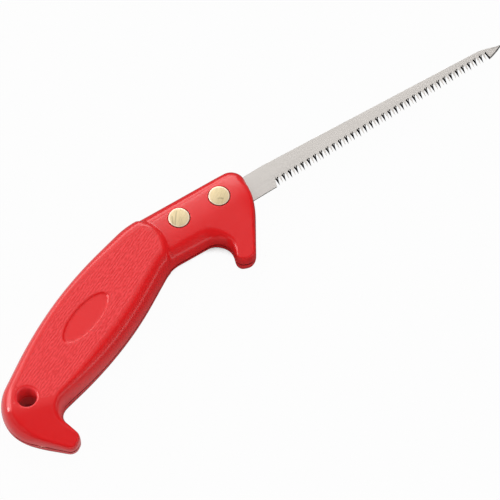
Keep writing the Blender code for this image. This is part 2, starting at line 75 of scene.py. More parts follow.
NECK_HALF_THICKNESS = 10.0 * MM
GRIP_HALF_THICKNESS = 11.7 * MM
CREASE_FILLET = 0.5 * MM
NECK_CROWN_START = 3.0 * MM
NECK_CROWN_RADIUS = 77.0 * MM
EDGE_SQUARING = 0.3
NARROW_ROUNDING = 2.0 * MM
BROAD_ROUNDING = 5.0 * MM
GUARD_SLOPE = 0.125
GUARD_SLOPE_START = 1.3 * MM
NOSE_SLOPE = 0.12
NOSE_SLOPE_START = 7.0 * MM
BUTT_SLOPE = 0.30
BUTT_SLOPE_START = 5.6 * MM
BUTT_SLOPE_TURN = math.radians(251.5)
SLOPE_BLEND = 2.5 * MM
GRIP_END_PLACE = Vector((-51.1, 5.9)) * MM
GRIP_END_RADIUS = 18.5 * MM
GRIP_END_ROUNDING = 5.5 * MM
HANG_HOLE_PLACE = Vector((-137.1, -31.1)) * MM
HANG_HOLE_RADIUS = 4.9 * MM
HANG_HOLE_FILLET = 1.2 * MM
OVAL_PLACE = Vector((-91.2, -11.8)) * MM
OVAL_LENGTH = 32.2 * MM
OVAL_WIDTH = 12.6 * MM
OVAL_TURN = math.radians(19.5)
OVAL_DEPTH = 0.6 * MM
# Place, corner radius and width of the edge rounding in millimetres
OUTLINE_CORNERS = {
    "nose_top": (19.4, 19.9, 8.0, 6.0),
    "nose_front": (15.3, -2.1, 45.0, 2.6),
    "guard_tip_front": (-2.7, -29.7, 5.5, 1.8),
    "guard_tip_back": (-11.6, -25.7, 4.2, 1.8),
    "guard_crook": (-6.6, -9.5, 8.5, 4.5),
    "neck_under": (-18.0, -9.2, 60.0, 8.0),
    "grip_throat": (-39.3, -8.4, 18.0, 7.6),
    "grip_belly": (-82.0, -33.1, 185.0, 7.6),
    "hook_crook": (-128.6, -43.0, 8.0, 4.5),
    "hook_tip_front": (-124.4, -60.7, 4.6, 1.8),
    "hook_tip_back": (-131.4, -65.1, 4.6, 1.8),
    "butt_foot": (-140.3, -55.8, 120.0, 2.0),
    "butt_base": (-153.0, -42.4, 20.5, 5.0),
    "butt_back": (-150.6, -23.6, 20.5, 6.5),
    "grip_back": (-101.3, 8.6, 222.0, 5.5),
    "neck_back": (-48.1, 22.3, 44.0, 8.0),
}

# Finer forms of the dressed pieces
SKIN_INSET = 0.1 * MM
BORE_CHAMFER = 0.35 * MM
SEAM_GROOVE_DEPTH = 1.4 * MM
SEAM_GROOVE_HALF = 0.40 * MM
SEAM_LIP = 0.30 * MM
SEAT_GAP = 0.30 * MM
SEAT_EDGE = 0.25 * MM
# Widening and drop of each ring of a seat's bevel, as shares of SEAT_EDGE
SEAT_BEVEL = ((0.0, 1.0), (0.4, 0.4), (1.2, -0.4))
OVAL_EDGE = 0.35 * MM
OVAL_WALL = 0.45 * MM
# Narrowing of each ring of the oval, and its drop as a share of OVAL_DEPTH
OVAL_PROFILE = (
    (-OVAL_EDGE, 0.0),
    (-OVAL_EDGE * 0.45, 0.06),
    (0.0, 0.22),
    (OVAL_WALL * 0.5, 0.62),
    (OVAL_WALL, 0.88),
    (OVAL_WALL * 1.8, 1.0),
)
BEVEL_WIDTH = 0.58 * MM
BEVEL_RISE = 1.1 * MM
TIP_BEVEL = 0.55 * MM
TIP_BEVEL_DIRECTION = Vector((-0.35, 1.0)).normalized()
RIVET_RIM = 0.22 * MM
RIVET_CROWN = 0.08 * MM
GATE_PLACE = Vector((-142.8, -52.6)) * MM
GATE_RADIUS = 1.6 * MM
GATE_HEIGHT = 0.45 * MM
GATE_FLATNESS = 1.2
GRIP_ANGLE = math.atan2(
    GRIP_END_PLACE.y - HANG_HOLE_PLACE.y,
    GRIP_END_PLACE.x - HANG_HOLE_PLACE.x,
)

# Fineness of the meshes
OUTLINE_CHORD = 0.8 * MM
CHORD_SPARE = 0.01
ARC_STEP = math.radians(5.0)
EDGE_BANDS = 20
LIP_BANDS = 4
HOLE_BANDS = 10
RIM_BANDS = 6
RIVET_FACE_RINGS = 22
ROUND_SIDES = 96
OVAL_SIDES = 128
BEND_STEPS = 10
FACE_SPACING = 1.3 * MM
EDGE_CLEARANCE = FACE_SPACING * 0.45
FEATURE_CLEARANCE = 0.6 * MM
CREASE_CHORD = 0.7 * MM
CREASE_CLEARANCE = 0.3 * MM
# Distances in millimetres of the rows of points beside the grip's crease
CREASE_STEPS = (-1.2, -0.7, -0.4, -0.2, 0.0, 0.2, 0.45, 0.8, 1.3, 1.9)
FILL_TOLERANCE = MM / 10000.0
MERGE_DISTANCE = 0.002 * MM
SHARP_ANGLES = {
    "handle": math.radians(38.0),
    "blade": math.radians(20.0),
    "rivet": math.radians(30.0),
}

# Extent of the markings
GRAIN_FADE = 0.8 * MM
BUTT_GRAIN_FADE = 1.5 * MM
FLAT_TOLERANCE = 0.05 * MM
OVAL_BARE_REACH = 1.06
SEAM_SHADE = SEAM_LIP * 0.6
SEAT_TOLERANCE = 0.02 * MM
BORE_LIGHT_FADE = HANG_HOLE_FILLET * 0.6
GATE_SPREAD = 1.5
# Width and fade in millimetres of the painted highlight on the rim of a rivet's head
RIM_HIGHLIGHT_WIDTH = 0.65
RIM_HIGHLIGHT_FADE = 0.4
# Start, end and width in millimetres, and depth, of each scratch on a rivet's face
RIVET_SCRATCHES = {
    "front_rivet": [((-1.2, -1.0), (-0.13, -1.5), 0.45, 0.55), ((-0.13, -1.5), (0.70, -2.3), 0.45, 0.65)],
    "rear_rivet": [((0.67, 3.61), (-4.06, -2.47), 0.26, 0.6), ((-2.6, 2.4), (-4.54, -1.2), 0.30, 0.6)],
}

# Colours
WHITE = (1.0, 1.0, 1.0)
PLASTIC_COLOURS = ((0.76, 0.0105, 0.0125), (0.82, 0.0135, 0.0155))
GRAIN_COLOURS = ((0.735, 0.006, 0.008), (0.885, 0.030, 0.036))
# Brighter red painted on the wall of the hanging hole: painted light inside the bore
BORE_PAINTED_LIGHT_COLOUR = (1.0, 0.070, 0.085)
# Dark red painted into the seam groove and round the rivet seats: painted shade
SEAM_PAINTED_SHADE_COLOUR = (0.20, 0.006, 0.009)
GATE_COLOUR = (0.90, 0.42, 0.34)
BRASS_COLOURS = ((0.81, 0.66, 0.375), (0.91, 0.74, 0.47))
WORN_BRASS_COLOUR = (0.34, 0.28, 0.16)
# Pale peach painted round each rivet head's rim: a painted highlight
RIM_HIGHLIGHT_BRASS_COLOUR = (1.0, 0.81, 0.61)
FLOOR_COLOUR = (0.45, 0.45, 0.45)
# Red-tinted colour painted on the floor where the object stands close over it: painted shade with painted red
# bounce light
CONTACT_SHADE_AND_BOUNCE_COLOUR = (0.55, 0.11, 0.12)
# Name, two colours, two roughnesses and turn of the grinding lines
STEELS = (
    ("brushed_blade_steel", (0.612, 0.580, 0.548), (0.674, 0.639, 0.605), 0.38, 0.42, 0.0),
    # The teeth's facets are darker steel than the blade's faces, darkest on the fronts of the teeth
    ("dark_tooth_front", (0.020, 0.020, 0.022), (0.06, 0.06, 0.065), 0.30, 0.42, 0.6),
    ("ground_tooth_back", (0.14, 0.135, 0.13), (0.28, 0.265, 0.255), 0.30, 0.42, 0.6),
    ("ground_tip_edge", (0.34, 0.325, 0.31), (0.46, 0.44, 0.42), 0.34, 0.42, 0.0),
)
# Which of the steels each kind of facet on the blade's edge shows
FACET_STEELS = {"plain": 0, "front": 1, "back": 2, "gullet": 2, "bevel": 3}

# Texture cells per metre along three axes, and turns of the textures
STREAK_CELLS = (110.0, 240.0, 240.0)
PEBBLE_CELLS = (600.0, 1700.0, 1100.0)
CLOUD_CELLS = (22.0, 22.0, 22.0)
SKIN_CELLS = (420.0, 420.0, 420.0)
GATE_CELLS = (900.0, 900.0, 900.0)
STEEL_LINE_CELLS = (40.0, 1500.0, 1500.0)
STEEL_SPECK_CELLS = (900.0, 1000.0, 1000.0)
STEEL_CLOUD_CELLS = (30.0, 120.0, 120.0)
BRASS_LINE_CELLS = (120.0, 2200.0, 600.0)
BRASS_LINE_TURN = math.radians(35.0)
BRASS_MARK_CELLS = (160.0, 420.0, 300.0)
BRASS_MARK_TURN = math.radians(60.0)

# View and light
VIEW_TURN = math.radians(33.8)
VIEW_RISE = 65.0
VIEW_DISTANCE = 1.25
VIEW_LENS = 180.0
VIEW_SENSOR = 36.0
VIEW_END = 20.0
FLOOR_HALF = 3.0
NEAR_REACH = 0.014
WIDE_REACH = 0.06
# Azimuth towards which the painted light in the floor's reflections grows brighter
FLOOR_LIGHT_SWEEP_AZIMUTH = 240.0
SURROUND_LEVEL = 0.07
BACKDROP_LEVEL = 0.98
# Azimuth, rise, sharpness and strength of each bright patch of the surround
SURROUND_PATCHES = ((330.0, 20.0, 3.0, 1.2), (352.0, 51.0, 30.0, 1.05))
# Azimuth, rise, distance, width, height and power of each lamp
BOX_LAMPS = {
    "back_box": (355.0, 36.0, 1.3, 0.55, 0.55, 2.6),
    "right_strip": (122.0, 7.0, 1.0, 1.8, 0.2, 1.6),
}
GLOSS_LAMPS = {
    "left_key": (286.0, 36.0, 1.25, 0.65, 0.9, 6.8),
    "left_spot": (270.0, 11.0, 1.25, 0.22, 0.36, 3.4),
    "left_sweep": (310.0, 8.0, 1.25, 1.9, 0.7, 7.0),
    "back_sweep": (0.0, 14.0, 1.25, 0.6, 0.5, 1.2),
}
FILL_LAMPS = {
    "left_fill": (236.0, 24.0, 1.2, 0.8, 0.8, 5.5),
    "right_fill": (118.0, 24.0, 1.2, 0.8, 0.8, 3.8),
    "top_fill": (40.0, 82.0, 1.2, 0.8, 0.8, 5.1),
}

blade_low, blade_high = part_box("saw_blade")
PLAN_ORIGIN = Vector((blade_high.x - BLADE_REACH, blade_low.y, (blade_low.z + blade_high.z) / 2.0))
VIEW_TARGET = PLAN_ORIGIN + Vector((-1.3, -21.7, 0.0)) * MM


# Plan geometry of the handle

def unit(angle):
    return Vector((math.cos(angle), math.sin(angle)))


def rotated(vector, angle):
    cosine = math.cos(angle)
    sine = math.sin(angle)
    return Vector((vector.x * cosine - vector.y * sine, vector.x * sine + vector.y * cosine))


def quarter_turn(count):
    """Angles from nothing to a right angle in equal steps."""
    return [math.pi / 2.0 * step / count for step in range(count + 1)]


def ease(fraction):
    held = min(max(fraction, 0.0), 1.0)
    return held * held * (3.0 - 2.0 * held)


def soft_ramp(distance):
    if distance <= -SLOPE_BLEND:
        return 0.0
    if distance >= SLOPE_BLEND:
        return distance
    return (distance + SLOPE_BLEND) ** 2 / (4.0 * SLOPE_BLEND)


def soft_maximum(first, second):
    overlap = max(CREASE_FILLET - abs(first - second), 0.0)
    return max(first, second) + overlap * overlap / (4.0 * CREASE_FILLET)


def rounded_share(fraction):
    held = min(max(fraction, 0.0), 1.0)
    return math.sqrt(max(1.0 - (1.0 - held) ** 2, 0.0))


def corner_fillets():
    """Corners of the outline with their turn and with radii that fit between their neighbours."""
    fillets = []
    for x, y, radius, rounding in OUTLINE_CORNERS.values():
        place = Vector((x, y)) * MM
        fillets.append({"place": place, "radius": radius * MM, "rounding": rounding * MM})
    pairs = list(zip(fillets, fillets[1:] + fillets[:1]))
    for fillet, following in pairs:
        following["heading"] = (following["place"] - fillet["place"]).normalized()
    for fillet, following in pairs:
        heading = fillet["heading"]
        leaving = following["heading"]
        fillet["turn"] = math.atan2(heading.cross(leaving), heading.dot(leaving))
        fillet["tangent"] = fillet["radius"] * math.tan(abs(fillet["turn"]) / 2.0)
        fillet["share"] = 1.0
    for fillet, following in pairs:
        side = (following["place"] - fillet["place"]).length
        share = side / (fillet["tangent"] + following["tangent"])
        fillet["share"] = min(fillet["share"], share)
        following["share"] = min(following["share"], share)
    for fillet in fillets:
        fillet["tangent"] *= fillet["share"]
        fillet["radius"] *= fillet["share"]
    return fillets


def fillet_arc(fillet):
    """Points and headings along one rounded corner of the outline."""
    heading = fillet["heading"]
    start = fillet["place"] - heading * fillet["tangent"]
    side = math.copysign(math.pi / 2.0, fillet["turn"])
    centre = start + rotated(heading, side) * fillet["radius"]
    sweep = abs(fillet["turn"])
    steps = math.ceil(max(sweep / ARC_STEP, sweep * fillet["radius"] / OUTLINE_CHORD, 1.0))
    arc = []
    for step in range(steps + 1):
        angle = fillet["turn"] * step / steps
        arc.append((centre + rotated(start - centre, angle), rotated(heading, angle)))
    return arc


def handle_outline():
    """Clockwise samples along the seam: point, inward normal and width of the edge rounding."""
    fillets = corner_fillets()
    arcs = [fillet_arc(fillet) for fillet in fillets]
    samples = []
    lengths = []
    knots = []
    travelled = 0.0
    for fillet, arc, following in zip(fillets, arcs, arcs[1:] + arcs[:1]):
        arc_length = abs(fillet["turn"]) * fillet["radius"]
        knots.append((travelled + arc_length / 2.0, fillet["rounding"]))
        for step, sample in enumerate(arc[:-1]):
            samples.append(sample)
            lengths.append(travelled + arc_length * step / (len(arc) - 1))
        travelled += arc_length
        end, heading = arc[-1]
        straight = following[0][0] - end
        pieces = math.ceil(straight.length / OUTLINE_CHORD - CHORD_SPARE)
        for piece in range(pieces):
            samples.append((end + straight * piece / pieces, heading))
            lengths.append(travelled + straight.length * piece / pieces)
        travelled += straight.length
    before = [(knots[-1][0] - travelled, knots[-1][1])] + knots
    after = knots + [(knots[0][0] + travelled, knots[0][1])]
    outline = []
    for (point, heading), length in zip(samples, lengths):
        spans = [span for span in zip(before, after) if span[0][0] <= length <= span[1][0]]
        (start, first), (end, second) = spans[0]
        rounding = first + (second - first) * ease((length - start) / (end - start))
        inward = rotated(heading, -math.pi / 2.0)
        outline.append((point + inward * SKIN_INSET, inward, rounding - SKIN_INSET))
    return outline


def edge_power(rounding):
    """Exponent of the edge rounding: narrow roundings are squarer than the broad ones."""
    breadth = ease((rounding - NARROW_ROUNDING) / (BROAD_ROUNDING - NARROW_ROUNDING))
    return 1.0 - EDGE_SQUARING * (1.0 - breadth)


def past_hole(place):
    """Distance down the slope of the butt from the centre of the hanging hole."""
    return (place - HANG_HOLE_PLACE).dot(unit(BUTT_SLOPE_TURN))


def grip_end_distance(place):
    """Distance from the centre of the grip's rounded front end, and nothing behind that centre."""
    from_end = place - GRIP_END_PLACE
    return from_end.length if from_end.dot(unit(GRIP_ANGLE)) > 0.0 else 0.0


def face_height(place, edge_share):
    """Height of the moulded face above the mid-plane at a height share of the edge rounding."""
    guard_drop = GUARD_SLOPE * soft_ramp(GUARD_SLOPE_START - place.y)
    nose_drop = NOSE_SLOPE * soft_ramp(place.x - NOSE_SLOPE_START)
    crown_drop = max(place.y - NECK_CROWN_START, 0.0) ** 2 / (2.0 * NECK_CROWN_RADIUS)
    neck = (NECK_HALF_THICKNESS - guard_drop - nose_drop - crown_drop) * edge_share
    grip = GRIP_HALF_THICKNESS - BUTT_SLOPE * soft_ramp(past_hole(place) - BUTT_SLOPE_START)
    end_share = rounded_share((GRIP_END_RADIUS - grip_end_distance(place)) / GRIP_END_ROUNDING)
    return soft_maximum(neck, grip * min(edge_share, end_share))


def inside(points, loop):
    """Which points lie inside a closed loop, and how far each lies from it."""
    starts = np.array(loop)
    ends = np.roll(starts, -1, axis=0)
    span = ends - starts
    within = np.zeros(len(points), bool)
    distance = np.zeros(len(points))
    for number, (x, y) in enumerate(points):
        crosses = (starts[:, 1] > y) != (ends[:, 1] > y)
        reach = starts[crosses, 0] + (y - starts[crosses, 1]) * span[crosses, 0] / span[crosses, 1]
        within[number] = np.count_nonzero(reach > x) % 2 == 1
        to_point = np.array((x, y)) - starts
        along = np.clip((to_point * span).sum(1) / (span * span).sum(1), 0.0, 1.0)
        distance[number] = np.sqrt(((to_point - span * along[:, None]) ** 2).sum(1).min())
    return within, distance


def chosen(items, flags):
    return [item for item, flag in zip(items, flags) if flag]


def distances(points, place):
    return np.hypot(*(points - np.array(place)).T)


def circle(centre, radius):
    angles = [2.0 * math.pi * step / ROUND_SIDES for step in range(ROUND_SIDES)]
    return [centre + unit(angle) * radius for angle in angles]


def oval(shrink):
    """Counter-clockwise oval of the grip face, drawn in by a distance."""
    points = []
    for step in range(OVAL_SIDES):
        angle = 2.0 * math.pi * step / OVAL_SIDES
        along = (OVAL_LENGTH / 2.0 - shrink) * math.cos(angle)
        across = (OVAL_WIDTH / 2.0 - shrink) * math.sin(angle)
        points.append(OVAL_PLACE + rotated(Vector((along, across)), OVAL_TURN))
    return points


# Mesh building

class MeshParts:
    """Vertices and faces of one piece while it is put together."""

    def __init__(self):
        self.vertices = []
        self.faces = []

    def ring(self, points, heights):
        first = len(self.vertices)
        self.vertices += [(point.x, point.y, height) for point, height in zip(points, heights)]
        return list(range(first, len(self.vertices)))

    def level_ring(self, points, height):
        return self.ring(points, [height] * len(points))

    def plan(self, ring):
        return [self.vertices[index][:2] for index in ring]

    def bridge(self, rings):
        """Quads between following rings that run counter-clockwise about the outward side."""
        for lower, upper in zip(rings, rings[1:]):
            count = len(lower)
            for index in range(count):
                following = (index + 1) % count
                self.faces.append([lower[index], lower[following], upper[following], upper[index]])

    def close(self, rings):
        """Walls of a solid between its rings, and a flat face at each end."""
        self.bridge(rings)
        self.faces += [rings[0][::-1], rings[-1]]

    def fill(self, outer, holes, extra_points, height_of, upward):
        """Triangles between an outer ring and inner rings, through extra points."""
        rings = [outer] + holes
        known = [index for ring in rings for index in ring]
        points = [Vector(place) for place in self.plan(known)]
        edges = []
        start = 0
        for ring in rings:
            count = len(ring)
            edges += [(start + step, start + (step + 1) % count) for step in range(count)]
            start += count
        places, _, triangles, sources, _, _ = delaunay_2d_cdt(
            points + extra_points, edges, [], 0, FILL_TOLERANCE)
        numbers = []
        for place, source in zip(places, sources):
            on_ring = [number for number in source if number < len(known)]
            if on_ring:
                numbers.append(known[on_ring[0]])
                continue
            numbers.append(len(self.vertices))
            self.vertices.append((place.x, place.y, height_of(place)))
        corners = np.array([[places[corner][:] for corner in triangle] for triangle in triangles])
        middles = corners.mean(axis=1)
        kept = inside(middles, self.plan(outer))[0]
        for hole in holes:
            kept &= ~inside(middles, self.plan(hole))[0]
        for triangle in chosen(triangles, kept):
            first, second, third = (places[corner] for corner in triangle)
            turn = (second - first).cross(third - first)
            face = [numbers[corner] for corner in triangle]
            self.faces.append(face if (turn > 0.0) == upward else face[::-1])

    def make(self, name, side):
        """A linked object in the row frame; side -1 mirrors the piece through the mid-plane."""
        vertices = [PLAN_ORIGIN + Vector((x, y, z * side)) for x, y, z in self.vertices]
        faces = self.faces if side > 0 else [face[::-1] for face in self.faces]
        mesh = bpy.data.meshes.new(name)
        mesh.from_pydata(vertices, [], faces)
        mesh.validate()
        made = bpy.data.objects.new(name, mesh)
        bpy.context.scene.collection.objects.link(made)
        return made


def store(mesh, name, values):
    """Keeps a value on each vertex under a name that the materials use."""
    mesh.attributes.new(name, "FLOAT", "POINT").data.foreach_set("value", values)


# Handle

def grip_end_arcs(loop):
    """Points along the rounded front end of the grip, closest at its crease."""
    neck_share = NECK_HALF_THICKNESS / GRIP_HALF_THICKNESS
    crease = GRIP_END_ROUNDING * (1.0 - math.sqrt(1.0 - neck_share ** 2))
    insets = [crease + step * MM for step in CREASE_STEPS]
    insets.append(GRIP_END_ROUNDING)
    arcs = []
    for inset in insets:
        radius = GRIP_END_RADIUS - inset
        steps = math.ceil(math.pi * radius / CREASE_CHORD)
        for step in range(steps + 1):
            angle = GRIP_ANGLE + math.pi * (step / steps - 0.5)
            arcs.append(GRIP_END_PLACE + unit(angle) * radius)
    within, distance = inside([point[:] for point in arcs], loop)
    return chosen(arcs, within & (distance > CREASE_CLEARANCE))


def face_points(loop, clear_loops, features):
    """Staggered grid over the flat of the face, clear of its edge, its openings and the features."""
    corners = np.array(loop)
    low = corners.min(axis=0)
    high = corners.max(axis=0)
    row_step = FACE_SPACING * math.sqrt(3.0) / 2.0
    grid = []
    for row in range(math.ceil((high[1] - low[1]) / row_step)):
        for column in range(math.ceil((high[0] - low[0]) / FACE_SPACING)):
            x = low[0] + FACE_SPACING * (column + (row % 2) / 2.0)
            grid.append((x, low[1] + row_step * row))
    within, distance = inside(grid, loop)
    grid = chosen(grid, within & (distance > EDGE_CLEARANCE))
    for opening in clear_loops:
        within, distance = inside(grid, opening)
        grid = chosen(grid, ~within & (distance > EDGE_CLEARANCE))
    spots = np.array([feature[:] for feature in features])
    kept = [distances(spots, point).min() > FEATURE_CLEARANCE for point in grid]
    return [Vector(point) for point in chosen(grid, kept)]


def gate_bulge(point, height):
    """How far the trimmed moulding gate stands out beside the seam."""
    reach = math.hypot((point - GATE_PLACE).length, height * GATE_FLATNESS) / GATE_RADIUS
    return GATE_HEIGHT * max(1.0 - reach * reach, 0.0) ** 0.5


def handle_parts():
    """One half of the handle above the mid-plane, and the loop round the flat of its face."""
    parts = MeshParts()
    outline = handle_outline()
    rings = []
    groove = [(SEAM_GROOVE_DEPTH, SEAM_GAP / 2.0), (SEAM_GROOVE_DEPTH, SEAM_GROOVE_HALF)]
    for angle in quarter_turn(LIP_BANDS):
        inset = SEAM_LIP * (1.0 - math.sin(angle))
        groove.append((inset, SEAM_GROOVE_HALF + SEAM_LIP * (1.0 - math.cos(angle))))
    for inset, height in groove:
        places = [point + normal * (inset - gate_bulge(point, height)) for point, normal, _ in outline]
        rings.append(parts.level_ring(places, height))
    for angle in quarter_turn(EDGE_BANDS)[1:]:
        places = []
        heights = []
        for point, normal, rounding in outline:
            power = edge_power(rounding)
            place = point + normal * rounding * (1.0 - math.cos(angle) ** power)
            height = face_height(place, math.sin(angle) ** power)
            heights.append(height)
            places.append(place - normal * gate_bulge(point, height))
        rings.append(parts.ring(places, heights))
    parts.bridge([ring[::-1] for ring in rings])
    loop = parts.plan(rings[-1])
    hole_top, hole_bottom = hang_hole(parts)
    mouths = [hole_top, oval_recess(parts)]
    features = grip_end_arcs(loop)
    grid = face_points(loop, [parts.plan(mouth) for mouth in mouths], features)
    parts.fill(rings[-1], mouths, features + grid, lambda place: face_height(place, 1.0), True)
    parts.fill(rings[0], [hole_bottom], [], lambda place: SEAM_GAP / 2.0, False)
    return parts, loop


def hang_hole(parts):
    """Bore with a rounded mouth and a chamfer at the seam, from its top ring to its bottom ring."""
    rings = []
    for angle in quarter_turn(HOLE_BANDS):
        drop = HANG_HOLE_FILLET * (1.0 - math.cos(angle))
        places = circle(HANG_HOLE_PLACE, HANG_HOLE_RADIUS + HANG_HOLE_FILLET * (1.0 - math.sin(angle)))
        rings.append(parts.ring(places, [face_height(place, 1.0) - drop for place in places]))
    low = SEAM_GAP / 2.0
    rings.append(parts.level_ring(circle(HANG_HOLE_PLACE, HANG_HOLE_RADIUS), low + BORE_CHAMFER))
    rings.append(parts.level_ring(circle(HANG_HOLE_PLACE, HANG_HOLE_RADIUS + BORE_CHAMFER), low))
    parts.bridge(rings)
    return rings[0], rings[-1]


def oval_recess(parts):
    """Shallow recess with a rounded rim, a sloping wall and a filleted bare floor."""
    rings = []
    for shrink, share in OVAL_PROFILE:
        rings.append(parts.level_ring(oval(shrink), GRIP_HALF_THICKNESS - OVAL_DEPTH * share))
    parts.bridge(rings)
    grid = face_points(parts.plan(rings[-1]), [], [OVAL_PLACE])
    parts.fill(rings[-1], [], grid, lambda place: GRIP_HALF_THICKNESS - OVAL_DEPTH, True)
    return rings[0]


def tang_slot():
    """Solid of the slot that the blade enters between the halves at the nose."""
    depth = BLADE_THICKNESS / 2.0 + FIT_CLEARANCE
    rear = -TANG_REACH - FIT_CLEARANCE
    under = -FIT_CLEARANCE
    over = BLADE_DEPTH + FIT_CLEARANCE
    plan = ((rear, under), (TANG_REACH, under), (TANG_REACH, over), (rear, over))
    corners = [Vector(corner) for corner in plan]
    slot = MeshParts()
    slot.close([slot.level_ring(corners, -depth), slot.level_ring(corners, depth)])
    return slot


def rivet_seat(centre):
    """Solid of a rivet's seat, with a bevel that follows the crowned face round the mouth."""
    radius = RIVET_HEAD_RADIUS + SEAT_GAP
    seat = MeshParts()
    floor = NECK_HALF_THICKNESS - RIVET_HEAD_RECESS - RIVET_HEAD_THICKNESS - FIT_CLEARANCE
    rings = [seat.level_ring(circle(centre, radius), floor)]
    for widening, drop in SEAT_BEVEL:
        places = circle(centre, radius + SEAT_EDGE * widening)
        rings.append(seat.ring(places, [face_height(place, 1.0) - SEAT_EDGE * drop for place in places]))
    rings.append(seat.level_ring(places, NECK_HALF_THICKNESS + SEAT_EDGE))
    seat.close(rings)
    return seat


def cut_away(half, side, solids):
    """Cuts solids out of a half, and clears the cut mesh of slivers and doubled faces."""
    for solid in solids:
        cutter = solid.make("cutter", side)
        modifier = half.modifiers.new("cutter", "BOOLEAN")
        modifier.operation = "DIFFERENCE"
        modifier.solver = "EXACT"
        modifier.object = cutter
        depsgraph = bpy.context.evaluated_depsgraph_get()
        cut = bpy.data.meshes.new_from_object(half.evaluated_get(depsgraph))
        half.modifiers.clear()
        half.data = cut
        bpy.data.objects.remove(cutter, do_unlink=True)
    merged = bmesh.new()
    merged.from_mesh(half.data)
    bmesh.ops.remove_doubles(merged, verts=merged.verts, dist=MERGE_DISTANCE)
    bmesh.ops.dissolve_degenerate(merged, dist=MERGE_DISTANCE, edges=merged.edges)
    bmesh.ops.triangulate(merged, faces=merged.faces)
    twins = {}
    for face in merged.faces:
        twins.setdefault(frozenset(face.verts), []).append(face)
    doubled = [face for faces in twins.values() if len(faces) > 1 for face in faces]
    bmesh.ops.delete(merged, geom=doubled, context="FACES")
    merged.to_mesh(half.data)
    merged.free()


def grain_share(place, from_edge):
    """How strongly the moulded grain shows at a place on the flat of a grip face."""
    share = ease(from_edge / GRAIN_FADE)
    share *= ease((GRIP_END_RADIUS - GRIP_END_ROUNDING - grip_end_distance(place)) / GRAIN_FADE)
    share *= ease((BUTT_SLOPE_START - SLOPE_BLEND - past_hole(place)) / BUTT_GRAIN_FADE)
    to_hole = (place - HANG_HOLE_PLACE).length - HANG_HOLE_RADIUS - HANG_HOLE_FILLET
    share *= ease(to_hole / GRAIN_FADE)
    spoke = rotated(place - OVAL_PLACE, -OVAL_TURN)
    reach = math.hypot(spoke.x / (OVAL_LENGTH / 2.0), spoke.y / (OVAL_WIDTH / 2.0))
    return 0.0 if reach < OVAL_BARE_REACH else share


def mark_moulding(half, loop):
    """Stores on each vertex the grain, the painted shade of the seam and seats, the painted light of the bore
    and the gate.
    """
    mesh = half.data
    count = len(mesh.vertices)
    places = np.empty(count * 3)
    mesh.vertices.foreach_get("co", places)
    places = places.reshape(-1, 3) - np.array(PLAN_ORIGIN)
    height = np.abs(places[:, 2])
    plan = places[:, :2]
    grain = np.zeros(count)
    high = np.nonzero(height > GRIP_HALF_THICKNESS - OVAL_DEPTH - FLAT_TOLERANCE)[0]
    within, from_edge = inside(plan[high], loop)
    for index, is_within, distance in zip(high, within, from_edge):
        if is_within:
            grain[index] = grain_share(Vector(plan[index]), distance)
    from_hole = distances(plan, HANG_HOLE_PLACE)
    # Painted shade: marks the seam groove between the halves and the gap round each rivet seat for dark
    # colour
    seam = np.clip((SEAM_GROOVE_HALF + SEAM_SHADE - height) / SEAM_SHADE, 0.0, 1.0)
    seam[from_hole < HANG_HOLE_RADIUS + SEAM_GROOVE_DEPTH] = 0.0
    for place in RIVET_PLACES.values():
        from_rivet = distances(plan, place)
        seam = np.maximum(seam, from_rivet < RIVET_HEAD_RADIUS + SEAT_GAP + SEAT_TOLERANCE)
    # Painted light: marks the bore's wall, which turns brighter red to stand in for light inside the hole
    bore = np.clip((HANG_HOLE_RADIUS + BORE_LIGHT_FADE - from_hole) / BORE_LIGHT_FADE, 0.0, 1.0)
    from_gate = np.hypot(distances(plan, GATE_PLACE) / GATE_RADIUS, height / GATE_RADIUS)
    gate = np.clip(GATE_SPREAD - from_gate, 0.0, 1.0)
    for name, values in (("grain", grain), ("seam", seam), ("bore", bore), ("gate", gate)):
        store(mesh, name, values)


# Blade

def bent(start, control, end):
    """Points along a soft bend from one place to another."""
    points = []
    for step in range(BEND_STEPS + 1):
        share = step / BEND_STEPS
        near = start.lerp(control, share)
        far = control.lerp(end, share)
        points.append(near.lerp(far, share))
    return points


